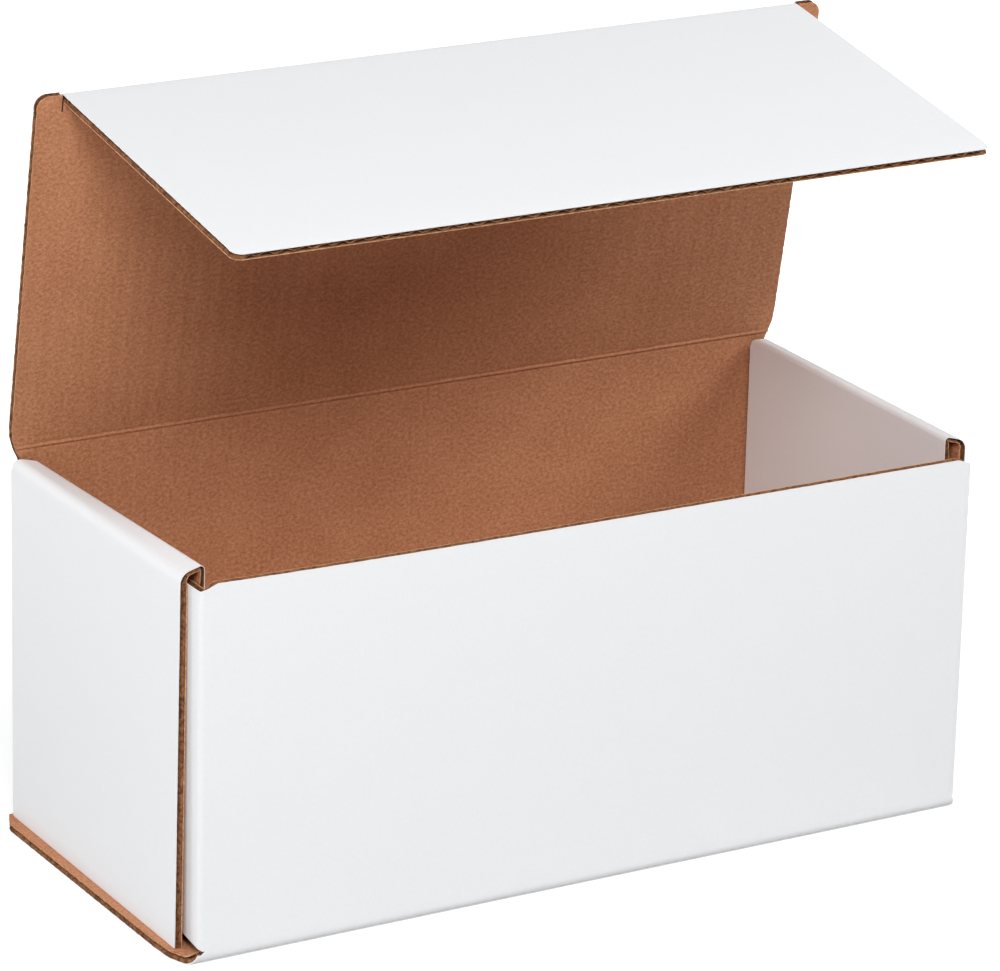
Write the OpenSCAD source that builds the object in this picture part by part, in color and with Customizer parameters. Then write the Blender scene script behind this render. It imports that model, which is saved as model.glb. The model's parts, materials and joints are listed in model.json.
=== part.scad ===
// Corrugated mailer box, folded from one die-cut sheet of single-wall board.
// The lid stands open and its tuck flap is folded square towards the front.
// Origin: centre of the tray's footprint on the floor, +Z up, front towards -Y.

/* [Inside] */
// Clear length between the two side walls
inside_length = 279.4; // [200:0.1:400]
// Clear depth from the front wall to the back wall
inside_depth = 129; // [100:0.5:220]
// Height from the bottom's upper face to the top of the rolled side walls
inside_height = 128.6; // [90:0.1:200]

/* [Board] */
// Thickness of the board
board = 2.8; // [2:0.1:4]
// Air between plies that lie against each other
ply_gap = 0.2; // [0.1:0.05:0.4]
// Inner radius of a square fold
fold_in = 0.6; // [0.3:0.1:1.5]

/* [Front wall] */
// How far the front wall's top lies under the top of the side walls
front_drop = 4.6; // [4:0.1:20]
// Length of each dust flap, from the front face back
dust_length = 64; // [30:1:90]
// Height of the dust flap's lower edge where it leaves the front wall
dust_low = 5.2; // [4.5:0.1:12]
// Rise of that lower edge along the flap
dust_rise = 9; // [0:0.5:30]
// Radius of the dust flap's free corners
dust_corner = 8; // [2:0.5:14]

/* [Side walls] */
// Distance from the front face back to the rolled wall's raw front edges
roll_setback = 9.8; // [6:0.1:15]
// Fall of the rolled top from its inner towards its outer corner, in degrees
roll_slope = 16; // [5:1:25]
// Outer radius of the roll's outer corner
roll_outer_radius = 4.4; // [3.8:0.1:5]
// Outer radius of the roll's inner corner
roll_inner_radius = 1.5; // [0.8:0.1:2.4]
// Radius of the roll's back corner, seen from the side
roll_back_radius = 4; // [1:0.5:6]
// Length of each lock tab, which goes through a slot in the bottom
tab_length = 28; // [15:1:40]
// Distance between the middles of a wall's two lock tabs
tab_spacing = 64; // [50:1:90]
// Clearance round a lock tab in its slot
tab_gap = 0.4; // [0.2:0.1:1]

/* [Bottom] */
// Width of the ledge that runs out under each side wall
ledge = 3.8; // [1:0.1:8]
// Width of that ledge at its front end
ledge_front = 1; // [0.5:0.1:5]
// Length over which the ledge tapers in at the back
ledge_taper = 8; // [3:0.5:20]

/* [Lid] */
// Width of the lid
lid_width = 297.5; // [200:0.5:420]
// Distance between the lid's two creases
lid_length = 125.5; // [95:0.5:218]
// Clearance under the closed lid, over the side walls
lid_gap = 0.6; // [0.3:0.1:1.5]
// Height of the cut-away at the lid's hinge corners
relief_height = 8.5; // [4:0.5:15]
// Radius of the lid's far corners
lid_corner = 4; // [1:0.5:8]
// How far the lid stands open, in degrees from closed
lid_open = 80; // [60:1:100]

/* [Tuck flap] */
// Clearance between the tuck flap's side and the side wall
tuck_gap = 0.3; // [0.2:0.1:3]
// Length of the tuck flap, from its crease to its free edge
tuck_length = 121; // [60:1:123]
// Radius of the tuck flap's free corners
tuck_corner = 3.5; // [1:0.5:12]
// Fold of the tuck flap, in degrees from flat with the lid
tuck_fold = 90; // [60:1:110]

/* [Creases] */
// Air between the round bead of a crease and the panel that turns on it
crease_gap = 0.3; // [0.2:0.05:0.5]
// Half angle left to each panel at the lid's crease, in degrees
hinge_wedge = 40; // [30:1:43]
// Half angle left on the inner side at the tuck flap's crease, in degrees
tuck_wedge = 27; // [20:1:28]

/* [Hidden] */
$fn = 48;
white_face = [0.93, 0.93, 0.94];
kraft_face = [0.66, 0.47, 0.34];
half_board = board / 2;
fold_out = fold_in + board;

// Places of the plies along X, measured from the middle
cavity_x = inside_length / 2;
inner_out_x = cavity_x + board;
dust_in_x = inner_out_x + ply_gap;
front_x = dust_in_x + board;
outer_in_x = front_x + ply_gap;
wall_x = outer_in_x + board;
roll_width = wall_x - cavity_x;

// Places along Y, with the footprint's middle at zero
tray_depth = inside_depth + 2 * board;
front_y = -tray_depth / 2;
back_y = tray_depth / 2;
back_in_y = back_y - board;
fold_y = back_y - fold_out;
roll_front_y = front_y + roll_setback;

// Heights
leg_foot = board + ply_gap;
roll_top = board + inside_height;
front_top = roll_top - front_drop;
hinge_y = back_y - half_board;
hinge_z = roll_top + lid_gap + half_board;

// Half widths of the straight part of a wall between two square folds
front_flat_x = front_x - fold_out;
back_flat_x = wall_x - fold_out;

// Half width of the front wall's foot, and the slit cut beside a fold's end
front_foot_x = front_x + 0.5;
slit = 0.4;
// Length over which the ledge reaches its full width behind the front edges
ledge_blend = 10;

// The roll's section, in coordinates across the wall and up from its top
slope_normal = [sin(roll_slope), cos(roll_slope)];
roll_across = roll_width - roll_outer_radius - roll_inner_radius;
roll_fall = (roll_outer_radius - roll_inner_radius + roll_across * sin(roll_slope))
    / cos(roll_slope);
roll_inner_c = [roll_inner_radius, -roll_inner_radius];
roll_outer_c = [roll_width - roll_outer_radius, -roll_inner_radius - roll_fall];
hollow_radius = roll_outer_radius - board;
hollow_corner_z = roll_outer_c[1]
    + (hollow_radius - (board - roll_outer_c[0]) * sin(roll_slope)) / cos(roll_slope);

// Half width of the tuck flap, and of the gap in the lid's edge where it turns
tuck_x = cavity_x - tuck_gap;
tuck_side_gap = 0.6;
// Longer than any panel
far = 1000;
// Both halves of an outline, from the points on its +X side
function mirrored(points) = concat(points,
    [for (i = [len(points) - 1:-1:0]) [-points[i][0], points[i][1]]]);

// A flat outline in Y and Z, extruded along X over the given half width
module crosswise(half_width) {
    translate([-half_width, 0, 0])
        rotate([90, 0, 90])
            linear_extrude(2 * half_width) children();
}

// A panel's outline from its crease to y = length, with its two far corners rounded
module rounded_end(half_width, length, radius) {
    polygon(mirrored([[half_width, -board], [half_width, length - radius],
                      [half_width - radius, length]]));
    for (side = [-1, 1])
        translate([side * (half_width - radius), length - radius]) circle(radius);
}

// Section of a square fold: a quarter of a ring whose centre is the origin
module fold_section() {
    intersection() {
        difference() {
            circle(fold_out);
            circle(fold_in);
        }
        square(fold_out);
    }
}

// Both of a pair: the given shape and its mirror image across the middle
module both_sides() {
    children();
    mirror([1, 0, 0]) children();
}

// The two places of the lock tabs along a side wall
module tab_places() {
    for (side = [-1, 1])
        translate([0, side * tab_spacing / 2, 0]) children();
}

// Front wall, bottom and back wall: the sheet's middle strip, folded square twice
module strip() {
    foot_top = dust_low - slit;
    difference() {
        union() {
            crosswise(front_flat_x) strip_section();
            crosswise(front_foot_x)
                intersection() {
                    strip_section();
                    translate([front_y, 0]) square([fold_out + board, foot_top]);
                }
            crosswise(back_flat_x)
                intersection() {
                    strip_section();
                    translate([fold_y - board, 0]) square([fold_out + board, far]);
                }
            linear_extrude(board) bottom_outline();
        }
        both_sides() tab_places()
            translate([cavity_x - tab_gap, -tab_length / 2 - tab_gap, -board])
                cube([board + 2 * tab_gap, tab_length + 2 * tab_gap, 3 * board]);
    }
}

// Side view of the strip, with the round bead that the lid's crease turns on
module strip_section() {
    translate([front_y, fold_out]) square([board, front_top - fold_out]);
    translate([-fold_y, fold_out]) rotate(180) fold_section();
    translate([-fold_y, 0]) square([2 * fold_y, board]);
    translate([fold_y, fold_out]) rotate(270) fold_section();
    translate([hinge_y, hinge_z])
        rotate(-90) bead_end(hinge_wedge, hinge_wedge, hinge_z - fold_out);
}

// Outline of the bottom with the ledges that run out under the side walls
module bottom_outline() {
    ledge_x = wall_x + ledge;
    ledge_back_y = back_y - slit;
    polygon(mirrored([[front_foot_x, -fold_y], [wall_x + ledge_front, roll_front_y],
                      [ledge_x, roll_front_y + ledge_blend],
                      [ledge_x, back_y - ledge_taper], [wall_x + slit, ledge_back_y],
                      [back_flat_x + slit, ledge_back_y], [back_flat_x + slit, fold_y]]));
}

// Dust flap on the front wall's side, held between the plies of the rolled wall
module dust_flap() {
    flap_end = front_y + dust_length;
    difference() {
        translate([0, 0, dust_low])
            linear_extrude(front_top - dust_low) {
                translate([front_flat_x - board, front_y]) square(board);
                translate([front_flat_x, -fold_y]) rotate(270) fold_section();
                translate([dust_in_x, -fold_y]) square([board, flap_end + fold_y]);
            }
        translate([dust_in_x - 1, 0, 0])
            rotate([90, 0, 90])
                linear_extrude(board + 2) {
                    polygon([[-fold_y, dust_low - 1], [-fold_y, dust_low],
                             [flap_end, dust_low + dust_rise],
                             [flap_end + 1, dust_low + dust_rise],
                             [flap_end + 1, dust_low - 1]]);
                    flap_corner_cut(flap_end, front_top, 1);
                    flap_corner_cut(flap_end, dust_low + dust_rise, -1);
                }
    }
}

// What a round corner takes off a flap whose free corner is at y, z
module flap_corner_cut(y, z, up) {
    translate([y - dust_corner, z - up * dust_corner])
        difference() {
            translate([0, up > 0 ? 0 : -dust_corner - 3])
                square([dust_corner + 1, dust_corner + 3]);
            circle(dust_corner);
        }
}

// Panel end with a bead: the panel runs along +x, its wedge angles above and below
module bead_end(above, below, length) {
    circle(half_board);
    wedge(above, below, length);
}

// Panel end that turns on a bead
module socket_end(above, below, length) {
    difference() {
        wedge(above, below, length);
        circle(half_board + crease_gap);
    }
}

// Panel end cut to a wedge, from the axis out to the given length
module wedge(above, below, length) {
    polygon([[0, 0], [half_board / tan(below), -half_board], [length, -half_board],
             [length, half_board], [half_board / tan(above), half_board]]);
}

// Section of a rolled side wall in x and z: outer leg, rolled top and inner leg
module roll_section() {
    difference() {
        union() {
            translate(roll_outer_c) circle(roll_outer_radius);
            translate(roll_inner_c) circle(roll_inner_radius);
            polygon([[0, roll_inner_c[1]],
                     roll_inner_c + roll_inner_radius * slope_normal,
                     roll_outer_c + roll_outer_radius * slope_normal,
                     [roll_width, roll_outer_c[1]],
                     [roll_width, tab_gap - roll_top],
                     [0, tab_gap - roll_top]]);
        }
        translate(roll_outer_c) circle(hollow_radius);
        polygon([[board, hollow_corner_z],
                 roll_outer_c + hollow_radius * slope_normal,
                 roll_outer_c,
                 [roll_width - board, roll_outer_c[1]],
                 [roll_width - board, -far],
                 [board, -far]]);
    }
}

// Rolled side wall: a double wall that hangs on the back wall's side
module side_wall() {
    difference() {
        translate([cavity_x, fold_y, roll_top])
            rotate([90, 0, 0])
                linear_extrude(fold_y - roll_front_y) roll_section();
        translate([cavity_x - 1, fold_y - roll_back_radius, roll_top - roll_back_radius])
            rotate([90, 0, 90])
                linear_extrude(roll_width + 2)
                    difference() {
                        square(roll_back_radius + 1);
                        circle(roll_back_radius);
                    }
        below_wall();
    }
    translate([0, 0, leg_foot])
        linear_extrude(roll_top - roll_back_radius - leg_foot) {
            translate([back_flat_x - board, back_in_y]) square(board);
            translate([back_flat_x, fold_y]) fold_section();
            translate([outer_in_x, fold_y - board]) square(board);
        }
}

// Air under a side wall's two legs, but for the lock tabs of the inner leg
module below_wall() {
    difference() {
        translate([cavity_x - 1, roll_front_y - 1, -board])
            cube([roll_width + 2, fold_y - roll_front_y + 2, leg_foot + board]);
        tab_places()
            translate([cavity_x - 2, -tab_length / 2, -2 * board])
                cube([board + 2 + ply_gap / 2, tab_length, far]);
    }
}

// Front wall, bottom, back wall and side walls: one folded sheet
module tray() {
    color(white_face) {
        strip();
        both_sides() {
            dust_flap();
            side_wall();
        }
    }
}

// Lid as it lies closed: crease at the origin, panel towards -Y
module lid_panel() {
    lid_edge = lid_length + half_board;
    groove_end = lid_length - 2 * board;
    difference() {
        intersection() {
            crosswise(lid_width / 2)
                rotate(180) socket_end(hinge_wedge, hinge_wedge, lid_edge);
            translate([0, 0, -board])
                linear_extrude(2 * board) lid_outline();
        }
        crosswise(tuck_x + tuck_side_gap)
            difference() {
                translate([-lid_edge - 1, -board])
                    square([lid_edge + 1 - groove_end, 2 * board]);
                translate([-lid_length, 0])
                    bead_end(90, tuck_wedge, lid_length);
            }
    }
}

// Outline of the lid, with its hinge corners cut away and its far corners rounded
module lid_outline() {
    half_width = lid_width / 2;
    mirror([0, 1, 0])
        intersection() {
            rounded_end(half_width, lid_length + half_board, lid_corner);
            polygon(mirrored([[back_flat_x, -board], [back_flat_x, crease_gap],
                              [half_width, relief_height], [half_width, far]]));
        }
}

// Tuck flap as it lies flat with the closed lid: crease at the origin, towards -Y
module tuck_panel() {
    intersection() {
        crosswise(tuck_x)
            rotate(180) socket_end(tuck_wedge, 90, tuck_length);
        translate([0, 0, -board])
            linear_extrude(2 * board)
                mirror([0, 1, 0])
                    rounded_end(tuck_x, tuck_length, tuck_corner);
    }
}

// Lid in its open position
module lid() {
    color(kraft_face)
        translate([0, hinge_y, hinge_z])
            rotate([-lid_open, 0, 0]) lid_panel();
}

// Tuck flap in its folded position, carried by the lid
module tuck_flap() {
    color(white_face)
        translate([0, hinge_y, hinge_z])
            rotate([-lid_open, 0, 0])
                translate([0, -lid_length, 0])
                    rotate([tuck_fold, 0, 0]) tuck_panel();
}

tray();
lid();
tuck_flap();
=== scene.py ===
"""Looks of a corrugated mailer box: liners, open flutes, creases, lights and camera."""

import json
import math

import bmesh
import bpy
import numpy as np
from mathutils import Matrix, Vector


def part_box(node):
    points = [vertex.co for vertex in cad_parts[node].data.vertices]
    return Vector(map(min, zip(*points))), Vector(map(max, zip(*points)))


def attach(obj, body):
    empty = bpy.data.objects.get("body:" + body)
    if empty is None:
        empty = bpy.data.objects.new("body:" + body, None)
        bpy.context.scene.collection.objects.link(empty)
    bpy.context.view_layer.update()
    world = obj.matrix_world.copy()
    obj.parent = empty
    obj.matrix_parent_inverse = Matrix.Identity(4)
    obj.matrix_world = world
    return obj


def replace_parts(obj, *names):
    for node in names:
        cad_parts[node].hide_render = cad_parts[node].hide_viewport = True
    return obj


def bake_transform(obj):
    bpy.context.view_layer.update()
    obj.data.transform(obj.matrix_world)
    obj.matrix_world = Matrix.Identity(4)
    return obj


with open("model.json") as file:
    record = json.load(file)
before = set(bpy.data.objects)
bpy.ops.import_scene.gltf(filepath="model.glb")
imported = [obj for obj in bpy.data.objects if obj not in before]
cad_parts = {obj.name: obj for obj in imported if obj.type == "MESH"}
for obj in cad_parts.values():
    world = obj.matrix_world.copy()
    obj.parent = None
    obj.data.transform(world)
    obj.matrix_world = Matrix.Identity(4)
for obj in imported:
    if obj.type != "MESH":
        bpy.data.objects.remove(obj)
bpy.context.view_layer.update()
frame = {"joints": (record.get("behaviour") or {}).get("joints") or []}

# Lengths are in millimetres here and become metres when a mesh is made
MM = 0.001
TINY = 1e-6

# The board: two liners with a fluted medium between them
BOARD = 2.8
LINER = 0.36
LINER_SHARE = LINER / BOARD
MEDIUM = 0.34
PLY_GAP = 0.2
FOLD_OUT = 3.4
FOLD_IN = FOLD_OUT - BOARD
FOLD_STEPS = 8

# The flutes at an open edge, and how they wander, are crushed and are torn
FLUTE_PITCH = 6.485
FLUTE_DEPTH = 9.0
FLUTE_REACH = (1 - 2 * LINER_SHARE) * BOARD / 2 - MEDIUM / 2
FLUTE_STEPS = 14
FLUTE_RECESS = 0.25
FLUTE_BACK_GAP = 0.2
FLUTE_WANDER = 0.7
FLUTE_CRUSH = 0.16
FLUTE_FULLNESS = 0.10
FLUTE_TEAR = 0.22
SLOPE_STEP = 0.02

# Cut edges: teeth, a slot's margin, and a groove beside each liner that varies along them
TOOTH_RATE = 2.2
SLOT_MARGIN = 0.5
GROOVE = (2.4, 0.35)
LEDGE_GROOVE = (0.3, 2.6)
GROOVE_SHARES = (0.36, 0.5, 0.64)
GROOVE_ROOM = 0.4
GROOVE_MIDDLE = 0.75
GROOVE_RIPPLES = ((0.4, 1.7, 5.0), (0.5, 2.3, 6.0))

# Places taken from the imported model
HINGES = {j["name"]: Vector(j["pos_m"]) / MM for j in frame["joints"]}
LID_AXIS = HINGES["lid_hinge"]
TUCK_AXIS = HINGES["tuck_hinge"]
BACK_Y = LID_AXIS.y + BOARD / 2
FRONT_Y = -BACK_Y
FOLD_Y = BACK_Y - FOLD_OUT
LID_LENGTH = (TUCK_AXIS - LID_AXIS).length
LID_ALONG = (TUCK_AXIS - LID_AXIS).normalized()
LID_INWARD = Vector((1, 0, 0)).cross(LID_ALONG)
LEDGE_X = (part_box("tray")[1] / MM).x

# Plies across the side walls, from the cavity outwards
CAVITY_X = 139.7
FRONT_X = CAVITY_X + 2 * BOARD + PLY_GAP
WALL_X = FRONT_X + PLY_GAP + BOARD
FRONT_HALF = FRONT_X - FOLD_OUT
WALL_HALF = WALL_X - FOLD_OUT

# The rolled side walls; a pair of values by side is for the left (-1) and the right (1)
ROLL_TOP = 131.4
LEG_FOOT = BOARD + PLY_GAP
ROLL_FRONT_Y = FRONT_Y + 9.8
ROLL_SLOPE = math.radians(16)
ROLL_OUTER_RADIUS = 4.4
ROLL_INNER_RADIUS = 1.5
ROLL_BACK_RADIUS = 4.0
ROLL_BOARD = 1.5
ROLL_THIN = 14.0
ROLL_TWIST = {-1: (-2.6, 1.0), 1: (0.8, 0.8)}
TWIST_HEIGHT = 20.0
LEG_LEAN = {-1: 1.4, 1: 0.0}
TAB_LENGTH = 28.0
TAB_SPACING = 64.0
TAB_GAP = 0.4
TAB_OVERLAP = 0.02

# The upright fold at the back: its ends lie just under their neighbours
FOLD_SUNK = 0.15
FOLD_OVERLAP = 0.5
FOLD_TOP_FALL = 4.0

# The dust flaps, with the notch at the foot of the fold that they hang on
DUST_LENGTH = 64.0
DUST_FLAT = DUST_LENGTH - FOLD_OUT
DUST_LOW = 5.2
DUST_RISE = 9.0
DUST_CORNER = 8.0
DUST_DROP = {-1: 2.5, 1: 5.5}
DUST_FLUTE_END = 3.0
NOTCH_PLACES = (0.2, 1.4)
NOTCH_LEVELS = (4.6, 4.3)
FOLD_SLACK = 0.05

# The front wall's top edge: its bow, its sag to the right and its drop at the folds
FRONT_TOP = 126.8
FRONT_BOW = 1.5
FRONT_SAG = 0.6
BOW_REACH = 55.0
TOP_LEAN = 0.7
TOP_RECESS = 0.8
CORNER_DROP = 2.4
DROP_START = 1.2
DROP_SHARE = 0.75
DROP_END = 4.0

# The front wall's foot: two heights, then half widths where the fold below them starts
SEAM_Z = 5.4
FOOT_TOP = 4.8
FOOT_CORNER = 143.2
FOOT_RIGHT = (143.4, 144.0)

# The ledges' reach at the front fold's start, just before its end, at its end and at the roll
LEDGE_REACH = {-1: (146.3, 148.2, 149.6, WALL_X + 3.3), 1: (145.6, 145.6, 145.6, WALL_X + 1.0)}
LEDGE_BEND = 1.2
LEDGE_BLEND = 10.0
LEDGE_TAPER = 8.0
LEDGE_OVERLAP = 0.02
SLIT = 0.4

# The lid and the tuck flap; the lid's hinge corners are cut away in two steps
LID_HALF_WIDTH = 148.75
LID_CORNER = 4.0
LID_RELIEF = 8.5
RELIEF_PLACES = (-0.5, 4.0)
RELIEF_WIDTHS = (147.0, 148.4)
CORNER_DEPTH = 5.0
TUCK_X = CAVITY_X - 0.3
TUCK_LENGTH = 121.0
TUCK_CORNER = 3.5
TUCK_FLUTE_SHARE = 0.6
TUCK_SIDE_GAP = 0.6
TUCK_CRUSH = 0.2
TUCK_RADIUS = 2.0
CRUSH_REACH = 8.0

# The creases: a depth and a width for each face, where a negative depth is a ridge
CREASE_REACH = 4.5
CREASE_BEND = 1.5
CREASE_RIDGE = (-0.36, 0.5)
CREASE_GROOVE = (0.18, 1.2)
LIP_SHARE = 0.35
LIP_PLACE = 1.9

# The sharpest angles, in degrees, that are still shaded smooth on panels and on creases
SMOOTH_ANGLE = 32
CREASE_SMOOTH = 50

# Slot numbers of the finishes; the fifth is painted shade, a dark sheet standing for the shadow
# deep in flute hollows and grooves
WHITE, KRAFT, CUT, BAND, PAINTED_SHADE, FLUTE = range(6)


def place_crosswise(u, v, w):
    """Section in y and z, extruded along x."""
    return (w, u, v)


def place_lengthwise(u, v, w):
    """Section in x and z, extruded along y."""
    return (u, w, v)


def place_upright(u, v, w):
    """Section in x and y, extruded along z."""
    return (u, v, w)


def ripple(s, seed):
    """A smooth irregular value between -1 and 1 along an edge, the same each run."""
    return (math.sin(s * 1.31 + seed) + math.sin(s * 0.47 + 2.1 * seed)
            + math.sin(s * 3.07 + 0.7 * seed)) / 3


def ray(degrees):
    """A unit step at an angle in the section's plane."""
    angle = math.radians(degrees)
    return Vector((math.cos(angle), math.sin(angle)))


def constant(value):
    """A limit that is the same all along a section."""
    return lambda s: value


def same(value):
    """The place across the flat sheet is the place across the board."""
    return value


class Section:
    """Stations along a bent board: outer point, inner point and length along the sheet."""

    def __init__(self, start_length):
        self.outer, self.inner, self.length = [], [], []
        self.start_length = start_length

    def add(self, outer, inner):
        """Adds a station, unless the board has not moved on since the last one."""
        outer, inner = Vector(outer), Vector(inner)
        if self.outer:
            middle = (outer + inner) / 2
            before = (self.outer[-1] + self.inner[-1]) / 2
            step = (middle - before).length
            if step < TINY and (outer - self.outer[-1]).length < TINY:
                return self
            self.length.append(self.length[-1] + step)
        else:
            self.length.append(self.start_length)
        self.outer.append(outer)
        self.inner.append(inner)
        return self

    def line(self, outer, inner, steps=1):
        """Goes straight on to a station, in equal steps."""
        outer, inner = Vector(outer), Vector(inner)
        first_outer, first_inner = self.outer[-1], self.inner[-1]
        for i in range(1, steps + 1):
            t = i / steps
            self.add(first_outer.lerp(outer, t), first_inner.lerp(inner, t))
        return self

    def turn(self, centre, outer_radius, start, end):
        """An arc about a centre between two angles in degrees."""
        centre = Vector(centre)
        for i in range(FOLD_STEPS + 1):
            step = ray(start + (end - start) * i / FOLD_STEPS)
            self.add(centre + step * outer_radius, centre + step * (outer_radius - BOARD))
        return self

    def at(self, s):
        """Outer and inner point at a length along the sheet."""
        lengths = self.length
        s = min(max(s, lengths[0]), lengths[-1])
        i = max(1, min(len(lengths) - 1, int(np.searchsorted(lengths, s))))
        t = (s - lengths[i - 1]) / max(lengths[i] - lengths[i - 1], 1e-9)
        return (self.outer[i - 1].lerp(self.outer[i], t),
                self.inner[i - 1].lerp(self.inner[i], t))


class Piece:
    """Collects the grids of one piece and turns them into a mesh object."""

    def __init__(self, name):
        self.name = name
        self.points, self.faces, self.slots, self.sheet = [], [], [], []

    def grid(self, points, sheet, slot, flip=False):
        """A grid of points, rows by columns, with their places on the flat sheet."""
        rows, columns = len(points), len(points[0])
        base = len(self.points)
        for row, sheet_row in zip(points, sheet):
            self.points.extend(row)
            self.sheet.extend(sheet_row)
        for i in range(rows - 1):
            for j in range(columns - 1):
                a = base + i * columns + j
                face = (a, a + 1, a + columns + 1, a + columns)
                self.faces.append(face[::-1] if flip else face)
                self.slots.append(slot)

    def finish(self, materials, smooth_angle=SMOOTH_ANGLE):
        """Makes the object, with places on the flat sheet as its UV map, in metres."""
        mesh = bpy.data.meshes.new(self.name)
        mesh.from_pydata([Vector(p) * MM for p in self.points], [], self.faces)
        for material in materials:
            mesh.materials.append(material)
        mesh.polygons.foreach_set("material_index", self.slots)
        uv = mesh.uv_layers.new(name="flat_sheet")
        for loop in mesh.loops:
            u, v = self.sheet[loop.vertex_index]
            uv.data[loop.index].uv = (u * MM, v * MM)
        clean(mesh)
        mesh.shade_smooth()
        mesh.set_sharp_from_angle(angle=math.radians(smooth_angle))
        made = bpy.data.objects.new(self.name, mesh)
        bpy.context.scene.collection.objects.link(made)
        return made


def clean(mesh):
    """Welds the grids' shared borders and drops faces that have no area."""
    work = bmesh.new()
    work.from_mesh(mesh)
    bmesh.ops.remove_doubles(work, verts=work.verts, dist=2e-6)
    bmesh.ops.dissolve_degenerate(work, edges=work.edges, dist=1e-7)
    bmesh.ops.recalc_face_normals(work, faces=work.faces)
    work.to_mesh(mesh)
    work.free()
    mesh.update()


class Board:
    """A bent board between two limits, each a function of the length along the sheet.

    An open end or side shows the flutes, in a slot of the given depth between the liners.
    The other cut sides have an uneven groove where the medium lies, with a depth beside the
    outer liner and one beside the inner liner.
    sheet_across gives the place on the flat sheet across the section's own direction.
    """

    def __init__(self, piece, section, place, low, high, sheet_across, columns, seed, jagged,
                 depth=FLUTE_DEPTH, groove=GROOVE):
        self.piece, self.section, self.place = piece, section, place
        self.low, self.high, self.sheet_across = low, high, sheet_across
        self.seed, self.jagged, self.depth, self.groove = seed, jagged, depth, groove
        self.stations = range(len(section.length))
        self.spread = [j / (columns - 1) for j in range(columns)]

    def build(self, open_end=False, open_low=False, open_high=False):
        """Adds the two faces, the two sides and the two ends to the piece."""
        self.face(0.0, WHITE, False)
        self.face(1.0, KRAFT, True)
        self.side(False, open_low)
        self.side(True, open_high)
        self.closed_end(False)
        if open_end:
            self.open_end()
        else:
            self.closed_end(True)

    def point(self, i, t, w):
        """A place at a station, at a share of the thickness and a distance across."""
        u, v = self.section.outer[i].lerp(self.section.inner[i], t)
        return self.place(u, v, w)

    def limits(self, i):
        """The two cut sides at a station, with their small teeth."""
        s = self.section.length[i]
        low_tooth = self.jagged * ripple(s * TOOTH_RATE, self.seed)
        high_tooth = self.jagged * ripple(s * TOOTH_RATE, self.seed + 3.0)
        return self.low(s) + low_tooth, self.high(s) + high_tooth

    def flat(self, i, w):
        """The place on the flat sheet."""
        return self.sheet_across(w), self.section.length[i]

    def row(self, i, t, margin=0.0):
        """Points across the board at a station, and their places on the flat sheet."""
        a, b = self.limits(i)
        a, b = a + margin, b - margin
        across = [a + (b - a) * c for c in self.spread]
        return [self.point(i, t, w) for w in across], [self.flat(i, w) for w in across]

    def add_rows(self, rows, slot, flip):
        """Adds rows of points with their flat places as one grid."""
        points, flats = zip(*rows)
        self.piece.grid(points, flats, slot, flip)

    def face(self, t, slot, flip):
        """One of the board's two faces."""
        self.add_rows([self.row(i, t) for i in self.stations], slot, flip)

    def strip(self, i, t0, t1, slot, flip, margin=0.0):
        """A band across the board at a station, between two shares of its thickness."""
        first, sheet = self.row(i, t0, margin)
        second, _ = self.row(i, t1, margin)
        self.piece.grid([first, second], [sheet, sheet], slot, flip)

    def profile(self, is_open):
        """Shares of the thickness across a cut side, and the finishes between them; the deepest
        part of a slot or groove gets painted shade.
        """
        near, far = LINER_SHARE, 1 - LINER_SHARE
        if is_open:
            return (0.0, near, near, far, far, 1.0), (WHITE, FLUTE, PAINTED_SHADE, FLUTE, CUT)
        deep = (FLUTE, PAINTED_SHADE, BAND, BAND, BAND, BAND)
        if self.groove[0] <= self.groove[1]:
            deep = deep[::-1]
        return (0.0, near, near, *GROOVE_SHARES, far, far, 1.0), (WHITE, *deep, CUT)

    def depths(self, i, is_open):
        """How far in from the cut each place of the profile lies at a station."""
        if is_open:
            return (0.0, 0.0, self.depth, self.depth, 0.0, 0.0)
        a, b = self.limits(i)
        s = self.section.length[i]
        room = GROOVE_ROOM * (b - a)
        outer, inner = (min(room, depth * (1 + vary * ripple(s * rate, self.seed + shift)))
                        for depth, (vary, rate, shift) in zip(self.groove, GROOVE_RIPPLES))
        middle = (GROOVE_MIDDLE * min(outer, inner)
                  + (1 - GROOVE_MIDDLE) * max(outer, inner))
        return (0.0, 0.0, outer, outer, middle, inner, inner, 0.0, 0.0)

    def side(self, at_high, is_open):
        """A cut side of the board, with open flutes or an uneven groove."""
        inward = -1 if at_high else 1
        shares, slots = self.profile(is_open)
        rows, sheet = [[] for _ in shares], []
        for i in self.stations:
            w = self.limits(i)[1 if at_high else 0]
            for row, t, inset in zip(rows, shares, self.depths(i, is_open)):
                row.append(self.point(i, t, w + inward * inset))
            sheet.append(self.flat(i, w))
        for first, second, slot in zip(rows, rows[1:], slots):
            self.piece.grid([first, second], [sheet, sheet], slot, at_high)

    def closed_end(self, at_end):
        """A plain cut end: both liners with the medium between them."""
        i = self.stations[-1 if at_end else 0]
        near, far = LINER_SHARE, 1 - LINER_SHARE
        for t0, t1, slot in ((0.0, near, WHITE), (near, far, BAND), (far, 1.0, CUT)):
            self.strip(i, t0, t1, slot, not at_end)

    def open_end(self):
        """The far end with its flutes open: the liners' edges and the slot between them."""
        near, far = LINER_SHARE, 1 - LINER_SHARE
        lengths, last = self.section.length, self.stations[-1]
        self.strip(last, 0.0, near, WHITE, False)
        self.strip(last, far, 1.0, CUT, False)
        inside = [j for j in self.stations[::-1]
                  if abs(lengths[j] - lengths[last]) <= self.depth + TINY]
        for t, flip in ((near, False), (far, True)):
            rows = [self.row(j, t, 0.0 if j == last else SLOT_MARGIN) for j in inside]
            self.add_rows(rows, FLUTE, flip)
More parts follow.
